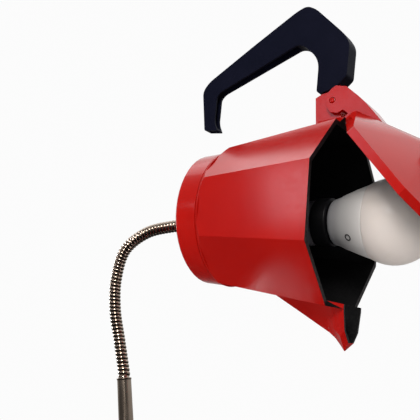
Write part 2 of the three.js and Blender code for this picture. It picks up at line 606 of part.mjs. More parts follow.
function buildBoiler() {
  const outer = turned([
    [0, BOILER_BOTTOM], [cornerOf(BOILER_APOTHEM), BOILER_BOTTOM], [cornerOf(COLLAR_APOTHEM), BOILER_TOP],
    [0, BOILER_TOP],
  ], 8);
  const inner = turned([
    [0, 6], [cornerOf(boilerApothemAt(6) - WALL), 6], [cornerOf(COLLAR_APOTHEM - WALL), BOILER_TOP - 1],
    [BOILER_NECK_BORE, BOILER_TOP + 3], [0, BOILER_TOP + 3],
  ], 8);
  const shoulder = turned([
    [0, BOILER_TOP - 0.4], [BASE_SHOULDER_RADIUS - 1.6, BOILER_TOP - 0.4], [BASE_SHOULDER_RADIUS, BOILER_TOP + 1.4],
    [BASE_SHOULDER_RADIUS - 1, BOILER_TOP + 6], [BASE_SHOULDER_RADIUS - 2.4, BOILER_TOP + 7.4], [0, BOILER_TOP + 7.4],
  ], 48);
  const neck = rod(BOILER_NECK_RADIUS, BOILER_TOP, BOILER_NECK_TOP, 40);
  const neckBore = rod(BOILER_NECK_BORE, BOILER_TOP + 2, BOILER_NECK_TOP + 1, 40);
  const footRecess = rod(40, 0, FOOT_THICKNESS + GAP, 32);
  const boltHole = rod(4 + GAP, 0, 10, 16).add(rod(8.4, 0, 3.6));
  const glandHole = placeGland(rod(6 + GAP, -12, 12));
  return outer.add(shoulder).add(neck)
    .subtract(inner).subtract(neckBore).subtract(footRecess).subtract(boltHole).subtract(glandHole);
}

// the cable gland is on the middle of the back face, where the pot's safety valve was
function placeGland(solid) {
  return solid.rotate([0, -90 + THREE.MathUtils.radToDeg(wallLean), 0])
    .translate([-boilerApothemAt(GLAND_Z), 0, GLAND_Z]);
}
add(lamp, 'boiler', buildBoiler(), RED);

add(lamp, 'foot_pad', rod(40 - GAP, 0, FOOT_THICKNESS), RUBBER);
add(lamp, 'base_bolt', hexagon(13, FOOT_THICKNESS + GAP, 3.3).add(rod(4, 3, 24, 16)), STEEL);

function buildBallast() {
  return rod(BOILER_NECK_BORE - 1, 6 + GAP, 56, 32).subtract(rod(4 + GAP, 0, 26, 16));
}
add(lamp, 'ballast', buildBallast(), IRON);

function buildCap() {
  const skirt = BOILER_NECK_TOP - 9;
  const inside = BOILER_NECK_RADIUS + GAP;
  return turned([
    [THREAD + GAP, CAP_UNDERSIDE], [inside, CAP_UNDERSIDE], [inside, skirt], [CAP_RADIUS - 0.6, skirt],
    [CAP_RADIUS, skirt + 0.6], [CAP_RADIUS, CAP_TOP - 1.5], [CAP_RADIUS - 1.5, CAP_TOP], [THREAD + GAP, CAP_TOP],
  ], 40);
}
add(lamp, 'base_cap', buildCap(), ALUMINIUM);

function buildGland() {
  return hexagon(15, GAP, 6).add(rod(6, -10, 3)).add(rod(5.6, 4, 9)).subtract(rod(BORE, -11, 10));
}
add(lamp, 'cable_gland', placeGland(buildGland()), BRASS);
add(lamp, 'gland_nut', placeGland(hexNut(15, -8, -4.4, 6 + GAP)), BRASS);

export default lamp;
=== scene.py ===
"""The look of the coffee-pot desk lamp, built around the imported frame.

Shade, lid, handle, bulb, lampholder, ribbed neck, stem and base, then the floor, the lights and the camera.
"""

import math

import bmesh
import bpy
import numpy as np
from mathutils import Matrix, Vector


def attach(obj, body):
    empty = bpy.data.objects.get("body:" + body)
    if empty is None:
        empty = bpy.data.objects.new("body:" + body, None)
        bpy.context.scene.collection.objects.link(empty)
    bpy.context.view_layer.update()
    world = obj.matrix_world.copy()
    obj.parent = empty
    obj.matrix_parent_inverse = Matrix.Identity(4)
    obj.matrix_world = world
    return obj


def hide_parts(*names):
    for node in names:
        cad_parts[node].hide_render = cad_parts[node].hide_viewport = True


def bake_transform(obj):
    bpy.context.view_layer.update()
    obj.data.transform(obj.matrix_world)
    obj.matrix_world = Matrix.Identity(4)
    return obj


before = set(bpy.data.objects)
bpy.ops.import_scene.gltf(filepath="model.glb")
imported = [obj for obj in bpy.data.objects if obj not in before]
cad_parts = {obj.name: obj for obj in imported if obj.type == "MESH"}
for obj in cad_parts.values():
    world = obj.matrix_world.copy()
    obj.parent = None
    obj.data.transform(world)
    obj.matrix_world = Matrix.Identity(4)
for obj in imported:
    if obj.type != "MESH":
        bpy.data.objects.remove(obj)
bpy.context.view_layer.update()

MM = 0.001

# ---- the frames of the lamp's parts, in the row frame ----
# the head's x runs out of the shade's mouth; the hub's is the bulb's axis, a little below it

HEAD_PLACE = (0.1668, 0.0, 0.2395)
HEAD_DIP = math.radians(11.0)
HUB_DROP = 3 * MM
HEAD = Matrix.Translation(HEAD_PLACE) @ Matrix.Rotation(HEAD_DIP, 4, "Y")
HUB = HEAD @ Matrix.Translation((0.0, 0.0, -HUB_DROP))
HINGE = Vector((-8.1, 0.0, 68.0)) * MM
LID_OPEN = math.radians(40.2)
LID_RIM_X = -8.7
LID_AXIS_Z = 1.8
LID = (
    HEAD
    @ Matrix.Translation(HINGE)
    @ Matrix.Rotation(-LID_OPEN, 4, "Y")
    @ Matrix.Translation(Vector((LID_RIM_X, 0.0, LID_AXIS_Z)) * MM - HINGE)
)
ROW = Matrix.Identity(4)
ALONG_X = Matrix.Rotation(math.radians(90.0), 4, "Y")

# the shade, in mm in the head's frame
MOUTH_APOTHEM = 52.5
BACK_APOTHEM = 41.7
FACET_LENGTH = 73.0
APOTHEM_SLOPE = (MOUTH_APOTHEM - BACK_APOTHEM) / FACET_LENGTH
COLLAR_FRONT_X = -75.4
COLLAR_FRONT_RADIUS = 41.8
BEAD_RADIUS = 0.6
FLOOR_FRONT_X = -73.5

# ---- node helpers ----


def new_material(name):
    """A new material, its node tree and its main shader."""
    material = bpy.data.materials.new(name)
    material.use_nodes = True
    return material, material.node_tree, material.node_tree.nodes["Principled BSDF"]


def add_node(tree, kind, **values):
    """A new node with some of its settings changed."""
    node = tree.nodes.new(kind)
    for key, value in values.items():
        setattr(node, key, value)
    return node


def noise(tree, scale, detail=3.0, roughness=0.5, stretch=(1, 1, 1)):
    """A noise in object space; scale is in cells per metre."""
    place = add_node(tree, "ShaderNodeTexCoord")
    mapping = add_node(tree, "ShaderNodeMapping")
    mapping.inputs["Scale"].default_value = stretch
    texture = add_node(tree, "ShaderNodeTexNoise")
    texture.inputs["Scale"].default_value = scale
    texture.inputs["Detail"].default_value = detail
    texture.inputs["Roughness"].default_value = roughness
    tree.links.new(place.outputs["Object"], mapping.inputs["Vector"])
    tree.links.new(mapping.outputs["Vector"], texture.inputs["Vector"])
    return texture


def ramp(tree, source, low, high, start=0.35, end=0.65):
    """Maps a 0 to 1 value to a span of values or between two colours."""
    node = add_node(tree, "ShaderNodeValToRGB")
    node.color_ramp.elements[0].position = start
    node.color_ramp.elements[1].position = end
    for element, value in zip(node.color_ramp.elements, (low, high)):
        element.color = value if isinstance(value, tuple) else (value, value, value, 1.0)
    tree.links.new(source, node.inputs["Fac"])
    return node.outputs["Color"]


def rgb(red, green, blue):
    """A linear colour with full alpha."""
    return (red, green, blue, 1.0)


def bump(tree, bsdf, height, strength, distance):
    """Bumps a shader's normal by a height; distance is in metres."""
    node = add_node(tree, "ShaderNodeBump")
    node.inputs["Strength"].default_value = strength
    node.inputs["Distance"].default_value = distance
    tree.links.new(height, node.inputs["Height"])
    tree.links.new(node.outputs["Normal"], bsdf.inputs["Normal"])


FINE_RELIEF = 0.00002  # how deep a fine bump is, in metres


def surface(name, colour, other, roughness, metallic=0.0, grain=900.0, depth=FINE_RELIEF, strength=0.25,
            patch=35.0, specular=0.5):
    """A material with slow colour drift, uneven roughness and a fine bump; grain and patch are per metre."""
    material, tree, bsdf = new_material(name)
    slow = noise(tree, patch, detail=4.0, roughness=0.6)
    fine = noise(tree, grain, detail=3.0, roughness=0.55)
    tree.links.new(ramp(tree, slow.outputs["Fac"], colour, other), bsdf.inputs["Base Color"])
    low, high = roughness
    tree.links.new(ramp(tree, fine.outputs["Fac"], low, high), bsdf.inputs["Roughness"])
    bsdf.inputs["Metallic"].default_value = metallic
    bsdf.inputs["Specular IOR Level"].default_value = specular
    bump(tree, bsdf, fine.outputs["Fac"], strength, depth)
    return material


RED = surface("red_lacquer", rgb(0.40, 0.0055, 0.003), rgb(0.355, 0.0045, 0.003), (0.12, 0.18),
              grain=420.0, depth=0.00003, strength=0.05, patch=18.0, specular=0.32)
INSIDE = surface("black_interior", rgb(0.0025, 0.0025, 0.003), rgb(0.004, 0.004, 0.0045), (0.75, 0.9),
                 grain=700.0, strength=0.3, specular=0.12)
# the mouth's rim line: nearly black, with a slight red tint
RIM = surface("dark_rim", rgb(0.014, 0.007, 0.008), rgb(0.007, 0.004, 0.004), (0.4, 0.6), specular=0.2)
BAKELITE = surface("bakelite", rgb(0.0030, 0.0038, 0.011), rgb(0.0040, 0.0048, 0.013), (0.42, 0.56),
                   grain=1500.0, depth=0.00003, strength=0.3, patch=60.0, specular=0.05)
DARK_GLOSS = surface("dark_gloss_plastic", rgb(0.075, 0.070, 0.080), rgb(0.095, 0.090, 0.10), (0.16, 0.26),
                     strength=0.12)
BLACK = surface("black_plastic", rgb(0.0035, 0.0035, 0.004), rgb(0.005, 0.005, 0.006), (0.35, 0.5),
                grain=1200.0, strength=0.2, specular=0.2)
NICKEL = surface("nickel", rgb(0.46, 0.38, 0.31), rgb(0.34, 0.27, 0.215), (0.09, 0.17), metallic=1.0,
                 grain=1400.0, depth=0.00001, strength=0.2, patch=90.0)
STEEL = surface("steel", rgb(0.52, 0.52, 0.53), rgb(0.40, 0.40, 0.42), (0.25, 0.42), metallic=1.0,
                grain=1600.0)
BRASS = surface("brass", rgb(0.72, 0.50, 0.20), rgb(0.58, 0.38, 0.14), (0.2, 0.38), metallic=1.0,
                grain=1300.0)
IRON = surface("cast_iron", rgb(0.045, 0.045, 0.05), rgb(0.09, 0.075, 0.065), (0.55, 0.8), metallic=0.7,
               grain=600.0, depth=0.0004, strength=0.6)
RUBBER = surface("rubber", rgb(0.018, 0.018, 0.019), rgb(0.03, 0.03, 0.03), (0.65, 0.85), grain=1200.0,
                 depth=0.00008, strength=0.5, specular=0.3)
CERAMIC = surface("ceramic", rgb(0.80, 0.78, 0.72), rgb(0.72, 0.70, 0.64), (0.2, 0.4), grain=700.0)
BOARD = surface("circuit_board", rgb(0.78, 0.79, 0.76), rgb(0.70, 0.72, 0.70), (0.35, 0.5), grain=800.0)
WHITE = surface("white_plastic", rgb(0.40, 0.40, 0.41), rgb(0.36, 0.355, 0.36), (0.38, 0.5), grain=1500.0,
                strength=0.2)


def turned_metal(name, colour, other, axis_scale, roughness=(0.22, 0.42)):
    """Metal with the fine rings that a lathe leaves; axis_scale is the rings per metre on each axis."""
    material, tree, bsdf = new_material(name)
    rings = noise(tree, 1.0, detail=2.0, roughness=0.6, stretch=axis_scale)
    slow = noise(tree, 40.0)
    tree.links.new(ramp(tree, slow.outputs["Fac"], colour, other), bsdf.inputs["Base Color"])
    tree.links.new(ramp(tree, rings.outputs["Fac"], *roughness), bsdf.inputs["Roughness"])
    bsdf.inputs["Metallic"].default_value = 1.0
    bump(tree, bsdf, rings.outputs["Fac"], strength=0.35, distance=FINE_RELIEF)
    return material


TURNED = turned_metal("turned_aluminium", rgb(0.42, 0.42, 0.43), rgb(0.35, 0.35, 0.365), (60, 60, 2600))
DRAWN = turned_metal("drawn_nickel", rgb(0.44, 0.36, 0.29), rgb(0.33, 0.265, 0.21), (900, 900, 40),
                     roughness=(0.16, 0.30))


def opal_glass(name):
    """A frosted globe: soft scattering under a satin skin."""
    material, tree, bsdf = new_material(name)
    fine = noise(tree, 1200.0)
    slow = noise(tree, 30.0)
    tree.links.new(ramp(tree, slow.outputs["Fac"], rgb(0.76, 0.68, 0.63), rgb(0.71, 0.635, 0.585)),
                   bsdf.inputs["Base Color"])
    tree.links.new(ramp(tree, fine.outputs["Fac"], 0.30, 0.40), bsdf.inputs["Roughness"])
    bsdf.inputs["Subsurface Weight"].default_value = 0.35
    bsdf.inputs["Subsurface Radius"].default_value = (1.0, 0.9, 0.8)
    bsdf.inputs["Subsurface Scale"].default_value = 0.006
    bump(tree, bsdf, fine.outputs["Fac"], strength=0.08, distance=FINE_RELIEF)
    return material


OPAL = opal_glass("opal_globe")


def paint_shade_along(material, origin, axis, length, low, high):
    """Paints shade into the base colour: drives it from low to high over a length, in metres, along an axis
    from an origin.
    """
    tree = material.node_tree
    place = add_node(tree, "ShaderNodeTexCoord")
    shift = add_node(tree, "ShaderNodeVectorMath", operation="SUBTRACT")
    shift.inputs[1].default_value = origin
    along = add_node(tree, "ShaderNodeVectorMath", operation="DOT_PRODUCT")
    along.inputs[1].default_value = axis / length
    tree.links.new(place.outputs["Object"], shift.inputs[0])
    tree.links.new(shift.outputs["Vector"], along.inputs[0])
    colour = ramp(tree, along.outputs["Value"], low, high, start=0.0, end=1.0)
    tree.links.new(colour, tree.nodes["Principled BSDF"].inputs["Base Color"])


# ---- mesh helpers ----

SMOOTH_BELOW = math.radians(32.0)
BODY_EDGE_ANGLE = 20.0
BODY_EDGE_SEGMENTS = 3
FACE_WEIGHT = 80


def to_object(name, bm, matrix, smooth=False):
    """Turns a bmesh, in mm in its own frame, into an object in the scene."""
    bmesh.ops.recalc_face_normals(bm, faces=bm.faces)
    bm.transform(matrix @ Matrix.Scale(MM, 4))
    if smooth:
        for face in bm.faces:
            face.smooth = True
        for edge in bm.edges:
            edge.smooth = len(edge.link_faces) == 2 and edge.calc_face_angle(0.0) < SMOOTH_BELOW
    mesh = bpy.data.meshes.new(name)
    bm.to_mesh(mesh)
    bm.free()
    piece = bpy.data.objects.new(name, mesh)
    bpy.context.scene.collection.objects.link(piece)
    return piece


def soften(piece, width, angle, segments):
    """Rounds the edges sharper than an angle, by a width in mm, and keeps the shading even across them."""
    rounding = piece.modifiers.new("edges", "BEVEL")
    rounding.limit_method = "ANGLE"
    rounding.angle_limit = math.radians(angle)
    rounding.width = width * MM
    rounding.segments = segments
    weighted = piece.modifiers.new("normals", "WEIGHTED_NORMAL")
    weighted.keep_sharp = False
    return rounding, weighted


def finish_mesh(name, bm, matrix, materials, body, stands_for=(), bevel=0.0, blended=None):
    """Turns a bmesh, in mm in its own frame, into a piece that rides on a body, or, when blended is given,
    is left unparented with its transform baked into the mesh.
    """
    piece = to_object(name, bm, matrix, smooth=True)
    for material in materials if isinstance(materials, list) else [materials]:
        piece.data.materials.append(material)
    if bevel > 0:
        rounding, weighted = soften(piece, bevel, BODY_EDGE_ANGLE, BODY_EDGE_SEGMENTS)
        rounding.miter_outer = "MITER_ARC"
        weighted.weight = FACE_WEIGHT
        for edge in piece.data.edges:
            edge.use_edge_sharp = False
    if blended:
        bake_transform(piece)
    else:
        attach(piece, body)
    if stands_for:
        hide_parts(*stands_for)


def lathe(profile, segments):
    """A bmesh turned about +Z from (radius, height) points; a profile that keeps off the axis is a loop."""
    bm = bmesh.new()
    rings = []
    for radius, height in profile:
        if radius == 0:
            rings.append([bm.verts.new((0, 0, height))])
            continue
        ring = []
        for i in range(segments):
            angle = 2 * math.pi * i / segments
            ring.append(bm.verts.new((radius * math.cos(angle), radius * math.sin(angle), height)))
        rings.append(ring)
    closed = len(rings[0]) > 1 and len(rings[-1]) > 1
    pairs = list(zip(rings, rings[1:] + rings[:1])) if closed else list(zip(rings, rings[1:]))
    for first, second in pairs:
        for i in range(segments):
            j = (i + 1) % segments
            corners = [
                first[i % len(first)], first[j % len(first)],
                second[j % len(second)], second[i % len(second)],
            ]
            unique = list(dict.fromkeys(corners))
            if len(unique) > 2:
                bm.faces.new(unique)
    return bm


def join(bm, other):
    """Adds another bmesh's geometry to bm and frees it."""
    mesh = bpy.data.meshes.new("joined")
    other.to_mesh(mesh)
    other.free()
    bm.from_mesh(mesh)
    bpy.data.meshes.remove(mesh)


EDGE_SHARE = 0.45  # how much of an edge one fillet may take


def rounded(points, radii, steps):
    """The outline with its corners filleted; radii is one number or one per corner."""
    count = len(points)
    result = []
    for i, point in enumerate(points):
        radius = radii[i] if isinstance(radii, list) else radii
        here = Vector(point)
        before = Vector(points[i - 1]) - here
        after = Vector(points[(i + 1) % count]) - here
        reach = min(radius, before.length * EDGE_SHARE, after.length * EDGE_SHARE)
        start = here + before.normalized() * reach
        end = here + after.normalized() * reach
        for k in range(steps + 1):
            t = k / steps
            result.append(tuple((1 - t) ** 2 * start + 2 * t * (1 - t) * here + t * t * end))
    return result


def turned_piece(name, profile, matrix, material, body, stands_for, segments, fillet):
    """A turned ring whose profile corners are filleted."""
    bm = lathe(rounded(profile, fillet, 3), segments)
    finish_mesh(name, bm, matrix, material, body, stands_for)


def oval(radius, height, half_width, half_height, steps):
    """An oval profile around (radius, height), which turns into a ring."""
    angles = [2 * math.pi * i / steps for i in range(steps)]
    return [(radius + half_width * math.cos(a), height + half_height * math.sin(a)) for a in angles]


def extrude(outline, half_width, scale_at=None):
    """A plate on an outline of (x, z) points; scale_at(x) narrows it."""
    bm = bmesh.new()
    sides = []
    for side in (-1, 1):
        ring = []
        for x, z in outline:
            width = half_width * (scale_at(x) if scale_at else 1.0)
            ring.append(bm.verts.new((x, side * width, z)))
        sides.append(ring)
    bm.faces.new(sides[0])
    bm.faces.new(list(reversed(sides[1])))
    count = len(outline)
    for i in range(count):
        j = (i + 1) % count
        bm.faces.new((sides[0][j], sides[0][i], sides[1][i], sides[1][j]))
    return bm


JOIN_WITHIN = 0.02  # mm
FLAT_BELOW = math.radians(1.2)


def from_node(node, matrix):
    """The clean mesh of a CAD node, in mm in the given frame: corners joined, flat triangles merged."""
    bm = bmesh.new()
    bm.from_mesh(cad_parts[node].data)
    bm.transform(Matrix.Scale(1 / MM, 4) @ matrix.inverted())
    bmesh.ops.remove_doubles(bm, verts=bm.verts, dist=JOIN_WITHIN)
    bmesh.ops.dissolve_limit(bm, angle_limit=FLAT_BELOW, verts=bm.verts, edges=bm.edges)
    bmesh.ops.recalc_face_normals(bm, faces=bm.faces)
    return bm


# ---- shade ----


def apothem_at(x):
    """The outside apothem of the shade's facets at x."""
    return MOUTH_APOTHEM + APOTHEM_SLOPE * x


def measure(face):
    """A face's centre, the apothem of the octagon it lies on, and whether it faces the axis."""
    centre = face.calc_center_median()
    radial = Vector((0, centre.y, centre.z))
    apothem = max(abs(centre.y), abs(centre.z), (abs(centre.y) + abs(centre.z)) / math.sqrt(2))
    inward = radial.length > 1 and face.normal.dot(radial.normalized()) < -0.2
    return centre, apothem, inward


ON_RED = 0
ON_INSIDE = 1
ON_RIM = 2
FACES_OUT = 0.8
RIM_BACK_X = -3
FLOOR_MARGIN = 0.5
WALL_MARGIN = 1.0
HINGE_EARS_Z = 60
SPOUT_TOP_Z = -44
SPOUT_BACK_X = -42
SPOUT_LIP_Z = -49
SPOUT_LIP_BACK_X = -40


def shade_zone(face):
    """Which of the shade's three materials a face has."""
    centre, apothem, inward = measure(face)
    out = face.normal.x > FACES_OUT
    in_spout = centre.z < SPOUT_TOP_Z and centre.x > SPOUT_BACK_X
    on_lip = centre.z < SPOUT_LIP_Z and centre.x > SPOUT_LIP_BACK_X
    past_floor = centre.x > FLOOR_FRONT_X - FLOOR_MARGIN
    within_wall = apothem < apothem_at(centre.x) - WALL_MARGIN
    if out and centre.x > RIM_BACK_X and centre.z < HINGE_EARS_Z:
        return ON_RIM
    if in_spout and (face.normal.y * centre.y < -0.3 or face.normal.z > 0.3):
        return ON_INSIDE
    if past_floor and within_wall and (inward or out):
        return ON_INSIDE
    if on_lip and face.normal.z > 0.05 and face.normal.x > -0.2:
        return ON_INSIDE
    return ON_RED


def build_shade():
    """The pot's upper chamber: red outside, black inside, with a thin, nearly black line along the mouth's
    edge.
    """
    bm = from_node("upper_chamber", HEAD)
    for face in bm.faces:
        face.material_index = shade_zone(face)
    finish_mesh("shade", bm, HEAD, [RED, INSIDE, RIM], "head", ("upper_chamber",), bevel=0.9)


build_shade()


def build_bead():
    """The rounded bead where the collar ends and the facets begin."""
    profile = oval(COLLAR_FRONT_RADIUS, COLLAR_FRONT_X, BEAD_RADIUS, BEAD_RADIUS, 10)
    finish_mesh("collar_bead", lathe(profile, 120), HEAD @ ALONG_X, RED, "head")


build_bead()

# ---- lid ----

LID_EARS_Z = 53
LID_INSIDE_APOTHEM = 52
LID_INSIDE_X = 22


def build_lid():
    """The lid: red outside, black under the roof."""
    bm = from_node("lid", LID)
    for face in bm.faces:
        centre, apothem, inward = measure(face)
        hollow = inward and apothem < LID_INSIDE_APOTHEM and centre.x < LID_INSIDE_X
        if centre.z < LID_EARS_Z and (face.normal.x < -0.5 or hollow):
            face.material_index = ON_INSIDE
    finish_mesh("lid_shell", bm, LID, [RED, INSIDE, RIM], "lid", ("lid",), bevel=0.8)


build_lid()

# ---- handle ----

HANDLE_ROOT = -5.0
HANDLE_TIP = -100.0
HANDLE_HALF_WIDTH = 5.5
HANDLE_TIP_HALF_WIDTH = 3.4
HANDLE_TIP_SHARE = HANDLE_TIP_HALF_WIDTH / HANDLE_HALF_WIDTH
HANDLE_WALL = 2.2
TENON_HALF_WIDTH = 2.9


def handle_share(x):
    """How wide the grip is at x, as a share of its width at the root."""
    along = (HANDLE_ROOT - x) / (HANDLE_ROOT - HANDLE_TIP)
    return 1 - (1 - HANDLE_TIP_SHARE) * along


def carve(piece, bm, name):
    """Cuts the bmesh's solid, in mm in the head's frame, out of a piece and applies it."""
    cutter = to_object(name, bm, HEAD)
    cut = piece.modifiers.new("cut", "BOOLEAN")
    cut.operation = "DIFFERENCE"
    cut.solver = "EXACT"
    cut.object = cutter
    bpy.context.view_layer.update()
    graph = bpy.context.evaluated_depsgraph_get()
    result = bpy.data.meshes.new_from_object(piece.evaluated_get(graph))
    piece.modifiers.remove(cut)
    piece.data = result
    bpy.data.objects.remove(cutter)


def build_handle():
    """The grip: a moulded bar with a channel inside its arm and a slot for the bracket's tenon."""
    outline = [
        (-100.9, 59.1), (-104.8, 86.4), (-100.2, 92.4), (-68.3, 112.5), (-37.9, 130.9), (-31, 133.6),
        (-24.5, 130.2), (-5.2, 111.2), (-1.1, 104.6), (-1.9, 84.3), (-4.3, 82), (-9, 77.6), (-18.5, 74.9),
        (-21, 76.3), (-20.6, 97.0), (-31.4, 107.4), (-36.4, 108.6), (-90.5, 84.6), (-93.4, 81.4),
        (-93.7, 64.5), (-90.9, 58.4),
    ]
    radii = [1.2, 9, 7, 4, 5, 7, 5, 5, 6, 2, 1.5, 1.5, 1.5, 1.5, 9, 6, 6, 3.5, 3, 3, 0.8]
    channel = [
        (-98.6, 50), (-101.4, 84), (-98.6, 88.6), (-66, 109.2), (-36, 126.4), (-31, 124), (-31, 112),
        (-37, 107.9), (-90.8, 84.0), (-92.6, 81.2), (-92.9, 64.5), (-89, 50),
    ]
    slot = [(-17.3, 68), (-17.3, 89.3), (-6.7, 89.3), (-6.7, 68)]
    bar = extrude(rounded(outline, radii, 6), HANDLE_HALF_WIDTH, handle_share)
    piece = to_object("handle_grip", bar, HEAD)
    hollow = extrude(rounded(channel, 2.0, 3), HANDLE_HALF_WIDTH - HANDLE_WALL, handle_share)
    carve(piece, hollow, "channel")
    carve(piece, extrude(slot, TENON_HALF_WIDTH), "slot")
    for polygon in piece.data.polygons:
        polygon.use_smooth = True
    piece.data.materials.append(BAKELITE)
    soften(piece, width=0.9, angle=50, segments=3)
    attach(piece, "head")
    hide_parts("handle")


build_handle()

# ---- bulb ----

BULB_BACK = -6.2
BULB_SEAM_X = 17.0
GLOBE_X = 28.5
GLOBE_RADIUS = 24.3
HUB_X = HUB @ ALONG_X
GLOBE_WALL = 1.6
SEAM_GAP = 0.3
BULB_PAINTED_SHADE = 24 * MM  # how far the painted shade on the bulb's back reaches
MARK_X = 7.75
MARK_RADIUS = 18.15
MARK_TURN = -142.0
MARK_SLOPE = 0.39
MARK_SIZE = 1.7
MARK_HALF_WIDTH = 0.42
MARK_HALF_HEIGHT = 0.25


def dome(radius, steps):
    """A globe's profile from its tip back to the seam."""
    end = math.asin((BULB_SEAM_X + SEAM_GAP - GLOBE_X) / radius)
    points = [(0.0, GLOBE_X + radius)]
    for i in range(1, steps + 1):
        angle = math.pi / 2 + (end - math.pi / 2) * i / steps
        points.append((radius * math.cos(angle), GLOBE_X + radius * math.sin(angle)))
    return points


def build_bulb():
    """The bulb: a flared plastic body under a thin opal globe."""
    housing = [
        (6, BULB_BACK), (12.4, BULB_BACK), (13.2, BULB_BACK + 0.9), (14.1, -2.0), (15.6, 1.2), (17.0, 4.9),
        (18.6, 9), (20.0, 13), (21.0, 16.2), (21.05, BULB_SEAM_X), (19.4, BULB_SEAM_X), (16.6, 9), (13.6, 1),
        (11, BULB_BACK + 2), (6, BULB_BACK + 2),
    ]
    turned_piece("bulb_body", housing, HUB_X, WHITE, "head", ("bulb_housing",), 96, 0.35)
    bm = lathe(dome(GLOBE_RADIUS, 34), 96)
    join(bm, lathe(dome(GLOBE_RADIUS - GLOBE_WALL, 20), 96))
    rim = [edge for edge in bm.edges if edge.is_boundary]
    bmesh.ops.bridge_loops(bm, edges=rim)
    finish_mesh("bulb_dome", bm, HUB_X, OPAL, "head", ("bulb_globe",))


def build_mark():
    """The small moulded ring on the bulb's body."""
    turn = math.radians(MARK_TURN)
    outward = Vector((-MARK_SLOPE, math.cos(turn), math.sin(turn))).normalized()
    spot = Vector((MARK_X, MARK_RADIUS * math.cos(turn), MARK_RADIUS * math.sin(turn)))
    matrix = HUB @ Matrix.Translation(spot * MM) @ outward.to_track_quat("Z", "Y").to_matrix().to_4x4()
    profile = oval(MARK_SIZE, 0.0, MARK_HALF_WIDTH, MARK_HALF_HEIGHT, 12)
    finish_mesh("bulb_mark", lathe(profile, 36), matrix, RUBBER, "head")


# painted shade: the bulb's body runs from dark at its back, deep in the shade's mouth, to pale towards the
# globe
paint_shade_along(WHITE, HUB @ Vector((BULB_BACK * MM, 0, 0)), HUB.to_3x3() @ Vector((1, 0, 0)), BULB_PAINTED_SHADE,
             rgb(0.17, 0.17, 0.18), rgb(0.62, 0.60, 0.58))
build_bulb()
build_mark()

# ---- lampholder ----

turned_piece("holder_ring", [
    (8.5, -16.5), (13.9, -16.5), (14.3, -15.8), (14.3, -7.6), (13.6, -6.8), (8.5, -6.8),
], HUB_X, BLACK, "head", ("lampholder_ring",), 96, 0.4)
turned_piece("holder_body", [
    (8.5, -47.7), (13.4, -47.7), (13.4, -44), (14, -43.2), (14, -41.6), (13.4, -40.8), (13.4, -16.8),
    (8.5, -16.8),
], HUB_X, DARK_GLOSS, "head", ("lampholder_body",), 96, 0.3)

# ---- neck hose ----

HOSE_RADIUS = 4.0
RIB_PITCH = 2.5
RIB_DEPTH = 0.75
NECK_LINKS = 7
NECK = [
    (0, 169.5), (-2.5, 190), (-5, 211), (-3, 231.5), (6, 250), (24.5, 258.5), (45.5, 258.8), (66.1, 256.0),
]
NECK_BODIES = ["base"] + ["neck_%d" % n for n in range(1, NECK_LINKS + 1)] + ["head"]
HOSE_START = (0.0, 165.2)
HOSE_PAST_NECK = 3.6  # how far the hose runs on past the last hinge point
HOSE_STEPS_PER_RIB = 8
HOSE_SIDES = 32
CURVE_STEPS = 40


def hose_path():
    """Evenly spaced points on a smooth curve through the neck's hinges: distances along it, xs and zs."""
    head_direction = (HEAD.to_3x3() @ Vector((1, 0, 0))).normalized()
    last = Vector((NECK[-1][0], NECK[-1][1]))
    end = last + Vector((head_direction.x, head_direction.z)) * HOSE_PAST_NECK
    knots = [Vector(HOSE_START)] + [Vector(p) for p in NECK] + [end]
    padded = [knots[0] * 2 - knots[1]] + knots + [knots[-1] * 2 - knots[-2]]
    dense = []
    for i in range(1, len(padded) - 2):
        p0, p1, p2, p3 = padded[i - 1], padded[i], padded[i + 1], padded[i + 2]
        for k in range(CURVE_STEPS):
            t = k / CURVE_STEPS
            dense.append(0.5 * (
                2 * p1 + (p2 - p0) * t + (2 * p0 - 5 * p1 + 4 * p2 - p3) * t ** 2
                + (3 * p1 - p0 - 3 * p2 + p3) * t ** 3
            ))
    dense.append(padded[-2])
    lengths = [0.0]
    for a, b in zip(dense, dense[1:]):
        lengths.append(lengths[-1] + (b - a).length)
    count = round(lengths[-1] / (RIB_PITCH / HOSE_STEPS_PER_RIB))
    marks = np.linspace(0, lengths[-1], count + 1)
    xs = np.interp(marks, lengths, [p.x for p in dense])
    zs = np.interp(marks, lengths, [p.y for p in dense])
    return marks, xs, zs


